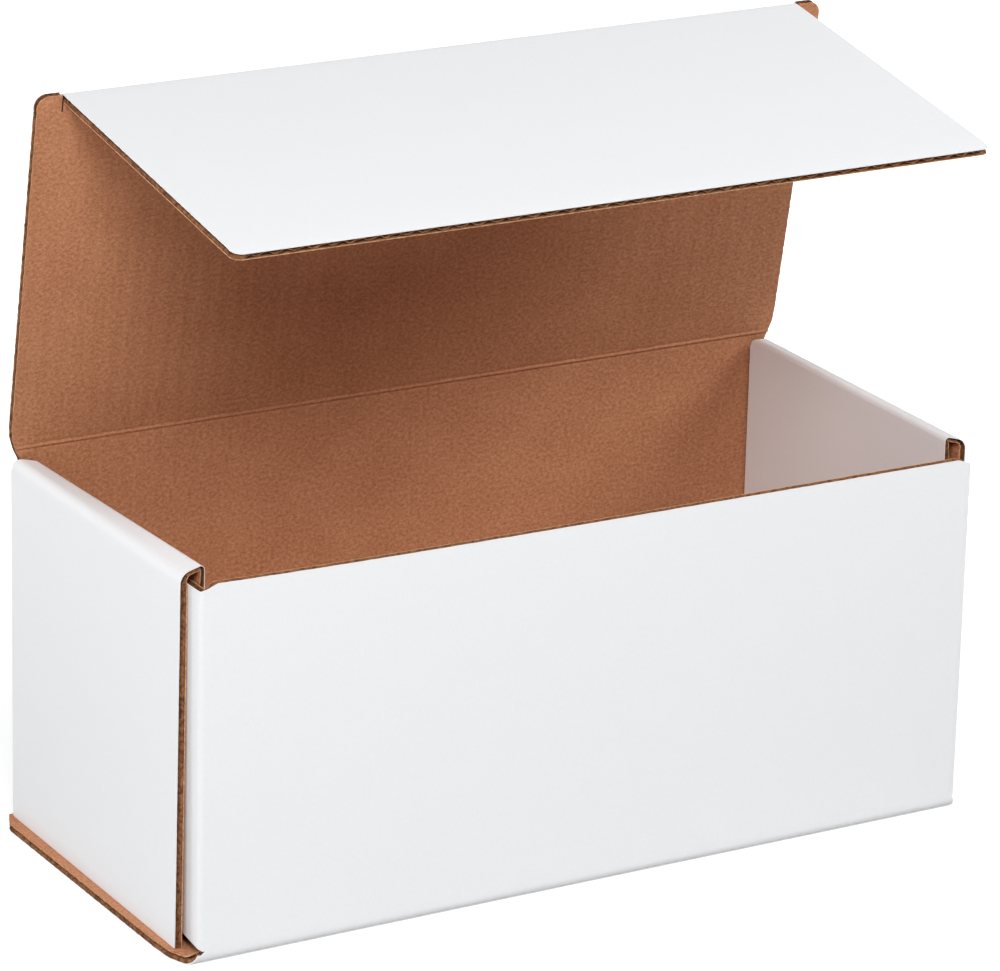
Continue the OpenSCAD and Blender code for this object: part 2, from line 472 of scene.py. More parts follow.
        # The slot's back is a dark sheet of painted shade for the unlit flute hollows
        self.strip(inside[-1], near, far, PAINTED_SHADE, False, SLOT_MARGIN)


def crest(along):
    """Height of the medium over the board's middle at a place along an open edge."""
    wave = math.sin(2 * math.pi * along / FLUTE_PITCH
                    + FLUTE_WANDER * ripple(along * 0.33, 1.0))
    crushed = 1.0 - FLUTE_CRUSH * (1 + ripple(along * 0.41, 2.0))
    full = (1.0 + FLUTE_FULLNESS * wave ** 2) / (1.0 + FLUTE_FULLNESS)
    return FLUTE_REACH * crushed * wave * full


def flutes(piece, point, first, last, recess=FLUTE_RECESS, depth=FLUTE_DEPTH):
    """The fluted medium at an open edge, between two places along that edge.

    point(along, share, depth) gives a place in the board: share 0 is its outer face, 1 its
    inner face, and depth is how far in from the cut edge.
    """
    count = max(4, int((last - first) / FLUTE_PITCH * FLUTE_STEPS))
    half = MEDIUM / 2
    upper, lower, sheet = [], [], []
    for k in range(count + 1):
        along = first + (last - first) * k / count
        slope = (crest(along + SLOPE_STEP) - crest(along - SLOPE_STEP)) / (2 * SLOPE_STEP)
        length = math.hypot(1.0, slope)
        upper.append((along - half * slope / length, crest(along) + half / length))
        lower.append((along + half * slope / length, crest(along) - half / length))
        sheet.append((along, 0.0))

    def row(curve, inset):
        return [point(along, 0.5 - across / BOARD, inset + FLUTE_TEAR * ripple(along * 1.9, 4.0))
                for along, across in curve]

    near, far = recess, depth - FLUTE_BACK_GAP
    piece.grid([row(upper, near), row(upper, far)], [sheet, sheet], FLUTE)
    piece.grid([row(lower, near), row(lower, far)], [sheet, sheet], FLUTE, True)
    piece.grid([row(upper, near), row(lower, near)], [sheet, sheet], BAND, True)


# Lengths along the flat sheet's middle strip, from the front wall's top edge
FRONT_LENGTH = FRONT_TOP - FOLD_OUT
FOLD_LENGTH = math.pi / 2 * (FOLD_OUT + FOLD_IN) / 2
BOTTOM_START = FRONT_LENGTH + FOLD_LENGTH
BACK_START = BOTTOM_START + 2 * FOLD_Y + FOLD_LENGTH
LID_START = BACK_START + LID_AXIS.z - FOLD_OUT
TUCK_START = LID_START + LID_LENGTH

# Across the flat sheet: what a side wall's y counts down from, and the left flap's free end
WALL_SHEET = WALL_X + BACK_Y
FRONT_START = -FRONT_HALF - FOLD_LENGTH - DUST_FLAT


def floor_strip(materials):
    """Bottom and back wall between the side walls, with the tab slots cut through."""
    top = LID_AXIS.z - CREASE_REACH
    seam = FRONT_TOP - SEAM_Z
    section = Section(seam)
    for z in (SEAM_Z, FOOT_TOP):
        section.add((FRONT_Y, z), (FRONT_Y + BOARD, z))
    foot = section.length[-1]
    section.turn((-FOLD_Y, FOLD_OUT), FOLD_OUT, 180, 270)
    section.line((FOLD_Y, 0), (FOLD_Y, BOARD), steps=6)
    section.turn((FOLD_Y, FOLD_OUT), FOLD_OUT, 270, 360)
    section.line((BACK_Y, top), (BACK_Y - BOARD, top), steps=4)

    def half_width(s):
        widths = [FRONT_HALF, FOOT_CORNER, WALL_HALF]
        return float(np.interp(s, [seam, foot, FRONT_LENGTH], widths))

    def right_limit(s):
        stops = [foot, FRONT_LENGTH, BOTTOM_START]
        return min(half_width(s), float(np.interp(s, stops, [*FOOT_RIGHT, WALL_HALF])))

    piece = Piece("floor_and_back_wall")
    Board(piece, section, place_crosswise, lambda s: -half_width(s), right_limit, same,
          columns=9, seed=1.0, jagged=0.0).build()
    made = piece.finish(materials)
    cut_slots(made)
    return made


def slot_block(cutter, side, place):
    """A block through the bottom where one lock tab stands."""
    y0 = place * TAB_SPACING / 2 - TAB_LENGTH / 2 - TAB_GAP
    y1 = y0 + TAB_LENGTH + 2 * TAB_GAP
    x0, x1 = sorted((side * (CAVITY_X - TAB_GAP), side * (CAVITY_X + BOARD + TAB_GAP)))
    base = [(x0, y0), (x1, y0), (x1, y1), (x0, y1), (x0, y0)]
    levels = (-1.0, BOARD + 1.0)
    cutter.grid([[(x, y, z) for x, y in base] for z in levels], [base, base], BAND)
    flat = [[(x0, y0), (x1, y0)], [(x0, y1), (x1, y1)]]
    for z in levels:
        cutter.grid([[(x, y, z) for x, y in row] for row in flat], flat, BAND)


def cut_slots(made):
    """Cuts the four slots that the lock tabs stand in."""
    cutter = Piece("slot_cutter")
    for side in (-1, 1):
        for place in (-1, 1):
            slot_block(cutter, side, place)
    tool = cutter.finish(list(made.data.materials))
    cut = made.modifiers.new("slots", "BOOLEAN")
    cut.operation = "DIFFERENCE"
    cut.object = tool
    cut.solver = "EXACT"
    graph = bpy.context.evaluated_depsgraph_get()
    result = bpy.data.meshes.new_from_object(made.evaluated_get(graph))
    made.modifiers.clear()
    made.data = result
    bpy.data.objects.remove(tool)


def ledge(materials, side):
    """The bottom's edge under a side wall, which on the left turns up into the front fold."""
    inner_x = WALL_HALF - LEDGE_OVERLAP
    if side < 0:
        section = Section(FRONT_LENGTH)
        section.turn((-FOLD_Y, FOLD_OUT), FOLD_OUT, 180, 270)
    else:
        section = Section(BOTTOM_START)
        section.add((-FOLD_Y, 0), (-FOLD_Y, BOARD))
    back = BACK_Y - SLIT
    for y in np.linspace(-FOLD_Y, back, 96)[1:]:
        section.add((y, 0), (y, BOARD))
    bottom = BOTTOM_START + FOLD_Y
    stops = [-FOLD_Y - FOLD_LENGTH, -FOLD_Y - LEDGE_BEND, -FOLD_Y, ROLL_FRONT_Y,
             ROLL_FRONT_Y + LEDGE_BLEND, BACK_Y - LEDGE_TAPER, back]
    reach = [*LEDGE_REACH[side], LEDGE_X, LEDGE_X, WALL_X + SLIT]

    def outline(s):
        return float(np.interp(s - bottom, stops, reach))

    low, high = constant(inner_x), outline
    if side < 0:
        low, high = (lambda s: -outline(s)), constant(-inner_x)
    piece = Piece("ledge_left" if side < 0 else "ledge_right")
    Board(piece, section, place_crosswise, low, high, same, columns=3, seed=2.0 + side,
          jagged=0.12, groove=LEDGE_GROOVE).build()
    return piece.finish(materials)


def front_rise(s):
    """How far the front wall's top edge lies above its level: it bows and drops at its folds."""
    along = min(FRONT_HALF, max(-FRONT_HALF, s)) + FRONT_HALF
    bow = FRONT_BOW * math.exp(-along / BOW_REACH) - FRONT_SAG * along / (2 * FRONT_HALF)
    stops = [FRONT_HALF - DROP_START, FRONT_HALF + DROP_SHARE * FOLD_LENGTH,
             FRONT_HALF + FOLD_LENGTH + DROP_END]
    drop = DUST_DROP[1 if s > 0 else -1]
    return bow - float(np.interp(abs(s), stops, [0.0, CORNER_DROP, drop]))


def place_front(u, v, w):
    """Section in x and y, extruded along z, with the front wall's upper half leaning in."""
    middle = (FRONT_TOP + SEAM_Z) / 2
    up = max(0.0, (w - middle) / (FRONT_TOP - middle))
    flat = float(np.interp(abs(u), [TUCK_X, FRONT_X], [1.0, 0.0]))
    front = float(np.interp(v, [FRONT_Y + BOARD, FRONT_Y + BOARD + FOLD_OUT], [1.0, 0.0]))
    return (u, v + TOP_LEAN * up * flat * front, w)


def front_section():
    """Stations from the left dust flap's free end round the front wall to the right one's."""
    end_y = FRONT_Y + DUST_LENGTH
    corner_y = end_y - DUST_CORNER
    section = Section(FRONT_START)
    section.add((-FRONT_X, end_y), (-FRONT_X + BOARD, end_y))
    section.line((-FRONT_X, corner_y), (-FRONT_X + BOARD, corner_y), steps=10)
    section.line((-FRONT_X, -FOLD_Y), (-FRONT_X + BOARD, -FOLD_Y), steps=20)
    section.turn((-FRONT_HALF, -FOLD_Y), FOLD_OUT, 180, 270)
    section.line((FRONT_HALF, FRONT_Y), (FRONT_HALF, FRONT_Y + BOARD), steps=110)
    section.turn((FRONT_HALF, -FOLD_Y), FOLD_OUT, 270, 360)
    section.line((FRONT_X, corner_y), (FRONT_X - BOARD, corner_y), steps=20)
    section.line((FRONT_X, end_y), (FRONT_X - BOARD, end_y), steps=10)
    return section


def front_limits(total):
    """The lower and the upper edge of the front wall and its dust flaps."""
    def from_end(s):
        return min(s - FRONT_START, total - s)

    def corner(distance):
        inside = max(0.0, DUST_CORNER - distance)
        return DUST_CORNER - math.sqrt(max(0.0, DUST_CORNER ** 2 - inside ** 2))

    def low(s):
        over = abs(s) - FRONT_HALF
        if over <= FOLD_SLACK:
            return SEAM_Z
        if over <= FOLD_LENGTH:
            return float(np.interp(over, [*NOTCH_PLACES, FOLD_LENGTH],
                                   [*NOTCH_LEVELS, DUST_LOW]))
        distance = from_end(s)
        rise = DUST_RISE * max(0.0, DUST_FLAT - distance) / DUST_FLAT
        return DUST_LOW + rise + corner(distance)

    def high(s):
        return FRONT_TOP + front_rise(s) - corner(from_end(s))

    return low, high


def front_wrap(materials):
    """Front wall with the dust flaps that its two sides fold back into."""
    section = front_section()
    total = section.length[-1]
    low, high = front_limits(total)
    piece = Piece("front_wall_and_dust_flaps")
    Board(piece, section, place_front, low, high, lambda w: -w, columns=3, seed=4.0,
          jagged=0.06).build(open_low=True, open_high=True)

    def top_point(along, share, depth):
        outer, inner = section.at(along)
        u, v = outer.lerp(inner, share)
        return place_front(u, v, high(along) - depth)

    def foot_point(along, share, depth):
        outer, inner = section.at(along)
        u, v = outer.lerp(inner, share)
        return (u, v, low(along) + depth)

    flaps = ((FRONT_START + DUST_FLUTE_END, -FRONT_HALF - FOLD_LENGTH),
             (FRONT_HALF + FOLD_LENGTH, total - DUST_FLUTE_END))
    for first, last in ((-FRONT_HALF, FRONT_HALF), *flaps):
        flutes(piece, top_point, first, last, recess=TOP_RECESS)
    for first, last in flaps:
        flutes(piece, foot_point, first, last)
    return piece.finish(materials)


def roll_geometry():
    """Centres and corner of the roll's section, across from the cavity and up from its top."""
    width = WALL_X - CAVITY_X
    across = width - ROLL_OUTER_RADIUS - ROLL_INNER_RADIUS
    fall = (ROLL_OUTER_RADIUS - ROLL_INNER_RADIUS + across * math.sin(ROLL_SLOPE)) / math.cos(
        ROLL_SLOPE)
    inner_centre = Vector((ROLL_INNER_RADIUS, -ROLL_INNER_RADIUS))
    outer_centre = Vector((width - ROLL_OUTER_RADIUS, -ROLL_INNER_RADIUS - fall))
    hollow = ROLL_OUTER_RADIUS - ROLL_BOARD
    corner_z = outer_centre.y + (hollow - (ROLL_BOARD - outer_centre.x) * math.sin(
        ROLL_SLOPE)) / math.cos(ROLL_SLOPE)
    return inner_centre, outer_centre, Vector((ROLL_BOARD, corner_z))


def twist_roll(side):
    """Places a side wall's section: its roll is twisted and its outer leg leans out in front."""
    lift_in, lift_out = ROLL_TWIST[side]
    legs = [CAVITY_X + BOARD, WALL_X - BOARD]

    def place(u, v, w):
        up = max(0.0, (v - ROLL_TOP + TWIST_HEIGHT) / TWIST_HEIGHT)
        back = (w - ROLL_FRONT_Y) / (FOLD_Y - ROLL_FRONT_Y)
        outward = (abs(u) - CAVITY_X) / (WALL_X - CAVITY_X)
        lean = LEG_LEAN[side] * (1 - back) * (1 - v / ROLL_TOP) * float(
            np.interp(abs(u), legs, [0.0, 1.0]))
        return (u + side * lean, w, v + up * back * (lift_in + (lift_out - lift_in) * outward))

    return place


def roll_section(side):
    """A side wall's stations from the outer leg's foot over the roll to the inner leg's foot.

    The second value is the length along the sheet where the roll's slope starts.
    """
    inner_centre, outer_centre, hollow_corner = roll_geometry()

    def at(x, z):
        return Vector((side * (CAVITY_X + x), ROLL_TOP + z))

    section = Section(LID_START - (ROLL_TOP - LEG_FOOT))
    section.add((side * WALL_X, LEG_FOOT), (side * (WALL_X - BOARD), LEG_FOOT))
    leg_top = ROLL_TOP + outer_centre.y
    section.line((side * WALL_X, leg_top), (side * (WALL_X - BOARD), leg_top), steps=60)
    slope_degrees = 90 - math.degrees(ROLL_SLOPE)
    for angle in np.linspace(0, slope_degrees, 12):
        thick = BOARD + (ROLL_BOARD - BOARD) * angle / slope_degrees
        outer = outer_centre + ray(angle) * ROLL_OUTER_RADIUS
        inner = outer_centre + ray(angle) * (ROLL_OUTER_RADIUS - thick)
        section.add(at(*outer), at(*inner))
    slope_start = section.length[-1]
    for angle in np.linspace(slope_degrees, 180, 9):
        outer = inner_centre + ray(angle) * ROLL_INNER_RADIUS
        section.add(at(*outer), at(*hollow_corner))
    section.line(at(0, -ROLL_THIN), at(BOARD, -ROLL_THIN), steps=6)
    section.line((side * CAVITY_X, LEG_FOOT), (side * (CAVITY_X + BOARD), LEG_FOOT), steps=30)
    return section, slope_start


def side_wall(materials, side):
    """A rolled side wall: outer leg, sloped rounded top and inner leg with its lock tabs."""
    section, slope_start = roll_section(side)

    def back(s):
        outer, _ = section.at(s)
        up = outer.y - (ROLL_TOP - ROLL_BACK_RADIUS)
        if up < 0:
            return FOLD_Y
        return FOLD_Y - ROLL_BACK_RADIUS + math.sqrt(max(0.0, ROLL_BACK_RADIUS ** 2 - up ** 2))

    def across(w):
        return side * (WALL_SHEET - w)

    piece = Piece("side_wall_left" if side < 0 else "side_wall_right")
    Board(piece, section, twist_roll(side), constant(ROLL_FRONT_Y), back, across, columns=4,
          seed=6.0 + side, jagged=0.07).build()
    for place in (-1, 1):
        tab = Section(slope_start)
        foot = LEG_FOOT + TAB_OVERLAP
        tab.add((side * CAVITY_X, foot), (side * (CAVITY_X + BOARD), foot))
        tab.line((side * CAVITY_X, TAB_GAP), (side * (CAVITY_X + BOARD), TAB_GAP), steps=2)
        middle = place * TAB_SPACING / 2
        Board(piece, tab, place_lengthwise, constant(middle - TAB_LENGTH / 2),
              constant(middle + TAB_LENGTH / 2), across, columns=3, seed=7.0 + place,
              jagged=0.04).build()
    return piece.finish(materials)


def wall_fold(materials, side):
    """The upright fold between the back wall and a side wall's outer leg."""
    section = Section(0.0)
    start_x = side * (WALL_HALF - FOLD_OVERLAP)
    section.add((start_x, BACK_Y - FOLD_SUNK), (start_x, BACK_Y - BOARD))
    section.turn((side * WALL_HALF, FOLD_Y), FOLD_OUT, 90, 180 if side < 0 else 0)
    end_y = FOLD_Y - FOLD_OVERLAP
    section.line((side * (WALL_X - FOLD_SUNK), end_y), (side * (WALL_X - BOARD), end_y))
    total = section.length[-1]

    def top(s):
        return ROLL_TOP - ROLL_BACK_RADIUS - FOLD_TOP_FALL * (1 - s / total)

    piece = Piece("wall_fold_left" if side < 0 else "wall_fold_right")
    Board(piece, section, place_upright, constant(LEG_FOOT), top,
          lambda w: LID_START - LID_AXIS.z + w, columns=3, seed=9.0 + side, jagged=0.0).build()
    return piece.finish(materials)


def crease_dent(distance, depth, width):
    """How far a crease dips into a face, or rises if the depth is negative, with its lips."""
    x = distance / width
    return depth * (math.exp(-x * x) - LIP_SHARE * math.exp(-(abs(x) - LIP_PLACE) ** 2))


def lid_point(a, across):
    """A point in y and z at a distance from the lid's axis, with an offset inwards."""
    p = LID_AXIS + LID_ALONG * a + LID_INWARD * across
    return Vector((p.y, p.z))


def lid_half_width(s):
    """Half width of the lid at a length along the sheet, with its hinge corners cut away."""
    stops = [-CREASE_REACH, *RELIEF_PLACES, LID_RELIEF]
    return float(np.interp(s - LID_START, stops, [WALL_HALF, *RELIEF_WIDTHS, LID_HALF_WIDTH]))


def lid_crease(materials):
    """The crease between the back wall and the lid, shaped for the lid at rest."""
    half = BOARD / 2
    section = Section(LID_START - CREASE_REACH)
    steps = 42
    for i in range(steps + 1):
        a = -CREASE_REACH + 2 * CREASE_REACH * i / steps
        turn = min(1.0, max(0.0, (a + CREASE_BEND) / (2 * CREASE_BEND)))
        upright = Vector((LID_AXIS.y, LID_AXIS.z + min(a, 0.0)))
        middle = upright if a <= 0 else lid_point(a, 0)
        normal = Vector((-1, 0)).lerp(Vector((LID_INWARD.y, LID_INWARD.z)), turn).normalized()
        inner = middle + normal * (half - crease_dent(a, *CREASE_RIDGE))
        outer = middle - normal * (half - crease_dent(a, *CREASE_GROOVE))
        section.add(outer, inner)
    piece = Piece("lid_crease")
    Board(piece, section, place_crosswise, lambda s: -lid_half_width(s), lid_half_width, same,
          columns=40, seed=10.0, jagged=0.0).build()
    return piece.finish(materials, CREASE_SMOOTH)


def lid_panel(materials):
    """The lid between its two creases."""
    half = BOARD / 2
    section = Section(LID_START + CREASE_REACH)
    section.add(lid_point(CREASE_REACH, -half), lid_point(CREASE_REACH, half))
    section.line(lid_point(LID_RELIEF, -half), lid_point(LID_RELIEF, half), steps=3)
    end = LID_LENGTH - CREASE_REACH
    section.line(lid_point(end, -half), lid_point(end, half), steps=90)
    piece = Piece("lid_panel")
    Board(piece, section, place_crosswise, lambda s: -lid_half_width(s), lid_half_width, same,
          columns=9, seed=11.0, jagged=0.14).build()
    return piece.finish(materials)


def lid_corner(materials, side):
    """A free corner of the lid beside the tuck flap, with the flutes open at its far edge."""
    half = BOARD / 2
    inner_x = TUCK_X + TUCK_SIDE_GAP
    edge = LID_LENGTH + half
    straight = edge - LID_CORNER
    start = LID_LENGTH - CREASE_REACH
    section = Section(LID_START + start)
    section.add(lid_point(start, -half), lid_point(start, half))
    section.line(lid_point(straight, -half), lid_point(straight, half), steps=8)
    for angle in np.linspace(0, 90, 13)[1:]:
        a = straight + LID_CORNER * math.sin(math.radians(angle))
        section.add(lid_point(a, -half), lid_point(a, half))

    def outline(s):
        over = min(LID_CORNER, max(0.0, s - LID_START - straight))
        return LID_HALF_WIDTH - LID_CORNER + math.sqrt(LID_CORNER ** 2 - over ** 2)

    low, high = constant(inner_x), outline
    if side < 0:
        low, high = (lambda s: -outline(s)), constant(-inner_x)
    piece = Piece("lid_corner_left" if side < 0 else "lid_corner_right")
    Board(piece, section, place_crosswise, low, high, same, columns=6, seed=12.0 + side,
          jagged=0.10, depth=CORNER_DEPTH).build(open_end=True)

    def edge_point(along, share, depth):
        y, z = lid_point(edge - depth, (share - 0.5) * BOARD)
        return (along, y, z)

    first, last = sorted((side * inner_x, side * (LID_HALF_WIDTH - LID_CORNER)))
    flutes(piece, edge_point, first, last, depth=CORNER_DEPTH)
    return piece.finish(materials)


def tuck_point(b, across):
    """A point in y and z on the tuck flap, at a distance from its axis and an offset outwards."""
    p = TUCK_AXIS + LID_INWARD * b + LID_ALONG * across
    return Vector((p.y, p.z))


def tuck_half(b):
    """Half the flap's thickness at a distance from its axis: its free edge is a bit crushed."""
    near = min(1.0, max(0.0, (b - TUCK_LENGTH + CRUSH_REACH) / CRUSH_REACH))
    return BOARD / 2 * (1 - TUCK_CRUSH * near * near)


def tuck_crease(materials):
    """The crease between the lid and the tuck flap, bent square at rest."""
    half = BOARD / 2
    section = Section(TUCK_START - CREASE_REACH)
    start = LID_LENGTH - CREASE_REACH
    section.add(lid_point(start, -half), lid_point(start, half))
    centre = TUCK_AXIS + LID_INWARD * (TUCK_RADIUS - half) + LID_ALONG * (half - TUCK_RADIUS)
    inner_corner = lid_point(LID_LENGTH - half, half)
    steps = 12
    for i in range(steps + 1):
        angle = math.radians(90 * i / steps)
        p = centre - LID_INWARD * TUCK_RADIUS * math.cos(angle) + (
            LID_ALONG * TUCK_RADIUS * math.sin(angle))
        section.add((p.y, p.z), inner_corner)
    section.add(tuck_point(CREASE_REACH, half), tuck_point(CREASE_REACH, -half))
    piece = Piece("tuck_crease")
    Board(piece, section, place_crosswise, constant(-TUCK_X), constant(TUCK_X), same,
          columns=40, seed=14.0, jagged=0.0).build()
    return piece.finish(materials, CREASE_SMOOTH)


def tuck_panel(materials):
    """The tuck flap, with the flutes open along its free edge."""
    half = BOARD / 2
    section = Section(TUCK_START + CREASE_REACH)
    section.add(tuck_point(CREASE_REACH, half), tuck_point(CREASE_REACH, -half))
    straight = TUCK_LENGTH - TUCK_CORNER
    back = TUCK_LENGTH - FLUTE_DEPTH
    section.line(tuck_point(back, half), tuck_point(back, -half), steps=80)
    curve = [straight + TUCK_CORNER * math.sin(math.radians(angle))
             for angle in np.linspace(0, 90, 13)]
    for b in [*np.linspace(back, straight, 7)[1:-1], *curve]:
        section.add(tuck_point(b, tuck_half(b)), tuck_point(b, -tuck_half(b)))

    def outline(s):
        over = min(TUCK_CORNER, max(0.0, s - TUCK_START - straight))
        return TUCK_X - TUCK_CORNER + math.sqrt(TUCK_CORNER ** 2 - over ** 2)

    piece = Piece("tuck_panel")
    Board(piece, section, place_crosswise, lambda s: -outline(s), outline, same,
          columns=120, seed=15.0, jagged=0.10).build(open_end=True)

    def edge_point(along, share, depth):
        b = TUCK_LENGTH - depth
        y, z = tuck_point(b, (1 - 2 * share) * tuck_half(b))
        return (along, y, z)

    reach = TUCK_X - TUCK_CORNER * TUCK_FLUTE_SHARE
    flutes(piece, edge_point, -reach, reach)
    return piece.finish(materials)


class Nodes:
    """Small helper that adds nodes to a material and links them."""

    def __init__(self, name):
        self.material = bpy.data.materials.new(name)
        self.material.use_nodes = True
        self.tree = self.material.node_tree
        self.shader = self.tree.nodes["Principled BSDF"]

    def plain(self, kind):
        """A node with its own defaults."""
        return self.tree.nodes.new(kind)

    def connect(self, value, socket):
        """Links a socket to another, or sets it to a value."""
        if isinstance(value, bpy.types.NodeSocket):
            self.tree.links.new(value, socket)
        else:
            socket.default_value = value

    def add(self, kind, **inputs):
        """A node with some inputs by name, a space written as an underscore."""
        node = self.plain(kind)
        for key, value in inputs.items():
            self.connect(value, node.inputs[key.replace("_", " ")])
        return node

    def math(self, operation, first, second):
        """The result of a sum on two values or sockets."""
        node = self.plain("ShaderNodeMath")
        node.operation = operation
        for socket, value in zip(node.inputs, (first, second)):
            self.connect(value, socket)
        return node.outputs[0]

    def ramp(self, factor, stops):
        """A colour ramp over a factor."""
        node = self.plain("ShaderNodeValToRGB")
        self.connect(factor, node.inputs["Fac"])
        elements = node.color_ramp.elements
        while len(elements) < len(stops):
            elements.new(0.5)
        for element, (place, colour) in zip(elements, stops):
            element.position = place
            element.color = (*colour, 1)
        return node.outputs["Color"]

    def link(self, value, name):
        """Sets an input of the shader itself."""
        self.connect(value, self.shader.inputs[name])


def stretched(nodes, scale):
    """Places on the flat sheet, scaled along and across the flutes."""
    place = nodes.plain("ShaderNodeUVMap")
    place.uv_map = "flat_sheet"
    mapping = nodes.add("ShaderNodeMapping", Vector=place.outputs["UV"], Scale=scale)
    return mapping.outputs["Vector"]


def linear(red, green, blue):
    """An sRGB colour in 0 to 255 as linear values."""
    def one(value):
        value /= 255
        return value / 12.92 if value <= 0.04045 else ((value + 0.055) / 1.055) ** 2.4
    return tuple(one(value) for value in (red, green, blue))


# How much clouds, fibres and fine grain add to the paper's tone, and what centres their sum
CLOUD_SHARE = 0.1
FIBRE_SHARE = 0.5
FINE_SHARE = 0.25
TONE_SHIFT = 0.075


def specked(nodes, colour, speck):
    """Darkens a colour by a factor in small scattered spots."""
    spots = nodes.add("ShaderNodeTexNoise", Vector=stretched(nodes, (1, 1, 1)),
                      Scale=1500.0, Detail=1.0)
    mask = nodes.ramp(spots.outputs["Fac"], [(0.27, (speck,) * 3), (0.34, (1, 1, 1))])
    mix = nodes.plain("ShaderNodeMix")
    mix.data_type = "RGBA"
    mix.blend_type = "MULTIPLY"
    mix.inputs["Factor"].default_value = 1.0
    nodes.connect(colour, mix.inputs[6])
    nodes.connect(mask, mix.inputs[7])
    return mix.outputs[2]


def washboard(nodes, wash):
    """The height of the flutes that show through the liner, stronger in some places."""
    split = nodes.add("ShaderNodeSeparateXYZ", Vector=stretched(nodes, (1, 1, 1)))
    turn = nodes.math("MULTIPLY", split.outputs["X"], 2 * math.pi / (FLUTE_PITCH * MM))
    wave = nodes.math("MULTIPLY", nodes.math("SINE", turn, 0.0), wash)
    patch = nodes.add("ShaderNodeTexNoise", Vector=stretched(nodes, (1, 0.35, 1)),
                      Scale=14.0, Detail=1.0)
    return nodes.math("MULTIPLY", wave, patch.outputs["Fac"])


def paper(name, dark, middle, light, roughness, grain, wash, speck=0.0):
    """Uncoated liner: soft fibres, fine grain, specks if asked and the flutes showing through."""
    nodes = Nodes(name)
    clouds = nodes.add("ShaderNodeTexNoise", Vector=stretched(nodes, (1, 1, 1)),
                       Scale=55.0, Detail=3.0, Roughness=0.5)
    fibre = nodes.add("ShaderNodeTexNoise", Vector=stretched(nodes, (0.8, 1.0, 1)),
                      Scale=900.0, Detail=4.0, Roughness=0.62)
    fine = nodes.add("ShaderNodeTexNoise", Vector=stretched(nodes, (1, 0.6, 1)),
                     Scale=2600.0, Detail=2.0, Roughness=0.6)
    tone = nodes.math("ADD", nodes.math("MULTIPLY", clouds.outputs["Fac"], CLOUD_SHARE),
                      nodes.math("MULTIPLY", fibre.outputs["Fac"], FIBRE_SHARE))
    tone = nodes.math("ADD", tone, nodes.math("MULTIPLY", fine.outputs["Fac"], FINE_SHARE))
    tone = nodes.math("ADD", tone, TONE_SHIFT)
    colour = nodes.ramp(tone, [(0.36, dark), (0.5, middle), (0.64, light)])
    nodes.link(specked(nodes, colour, speck) if speck else colour, "Base Color")
    height = nodes.math("ADD", washboard(nodes, wash),
                        nodes.math("MULTIPLY", fine.outputs["Fac"], grain))
    bump = nodes.add("ShaderNodeBump", Height=height, Strength=1.0, Distance=1.0)
    nodes.link(bump.outputs["Normal"], "Normal")
    nodes.link(roughness, "Roughness")
    nodes.link(0.25, "Specular IOR Level")
    return nodes.material


def torn(name, dark, light, scale):
    """A cut edge of board: short fibres along the cut, light where they stand proud."""
    nodes = Nodes(name)
    place = nodes.plain("ShaderNodeTexCoord")
    noise = nodes.add("ShaderNodeTexNoise", Vector=place.outputs["Object"], Scale=scale,
                      Detail=3.0, Roughness=0.65)
    nodes.link(nodes.ramp(noise.outputs["Fac"], [(0.36, dark), (0.62, light)]), "Base Color")
    bump = nodes.add("ShaderNodeBump", Height=noise.outputs["Fac"], Strength=1.0,
                     Distance=0.00006)
    nodes.link(bump.outputs["Normal"], "Normal")
    nodes.link(0.85, "Roughness")
    nodes.link(0.2, "Specular IOR Level")
    return nodes.material


def make_materials():
    """The six materials, in the order of the slot numbers; the fifth is painted shade for
    hollows.
    """
    white = paper("white_liner", linear(239, 240, 241), linear(241, 242, 244),
                  linear(243, 244, 246), roughness=0.55, grain=1.0e-5, wash=1.5e-5)
    kraft = paper("kraft_liner", linear(163, 104, 71), linear(195, 134, 97),
                  linear(219, 161, 122), roughness=0.78, grain=1.2e-5, wash=0.75e-4,
                  speck=0.72)
    cut = torn("cut_liner", linear(170, 115, 78), linear(226, 180, 138), 900.0)
    band = torn("cut_medium", linear(96, 58, 38), linear(164, 112, 76), 650.0)
    # Painted shade: a near-black brown for the insides of flute hollows and grooves, which are
    # the same paper in shadow
    painted_hollow_shade = torn("painted_flute_shade", linear(40, 25, 16), linear(58, 38, 25), 400.0)
    flute = torn("fluted_medium", linear(120, 78, 50), linear(176, 126, 86), 500.0)
    return [white, kraft, cut, band, painted_hollow_shade, flute]


def build_box():
    """All pieces of the board; each is on the body that carries it, except the two creases, which
    are left unattached.
    """
    materials = make_materials()
    tray = [floor_strip(materials), front_wrap(materials)]
    for side in (-1, 1):
        tray += [ledge(materials, side), side_wall(materials, side), wall_fold(materials, side)]
    for piece in tray:
        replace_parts(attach(piece, "tray"), "tray")
    lid = [lid_panel(materials)] + [lid_corner(materials, side) for side in (-1, 1)]
    for piece in lid:
        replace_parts(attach(piece, "lid"), "lid")
    tuck = tuck_panel(materials)
    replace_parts(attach(tuck, "tuck_flap"), "tuck_flap")
    hinge = lid_crease(materials)
    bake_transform(hinge)
    fold = tuck_crease(materials)
    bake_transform(fold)


# The floor's tone to bounced light, and what is added to it for rays from the camera
FLOOR_TONE = 0.62
FLOOR_SEEN = 0.3
FLOOR_HALF = 30.0
WORLD_GLOW = 0.02


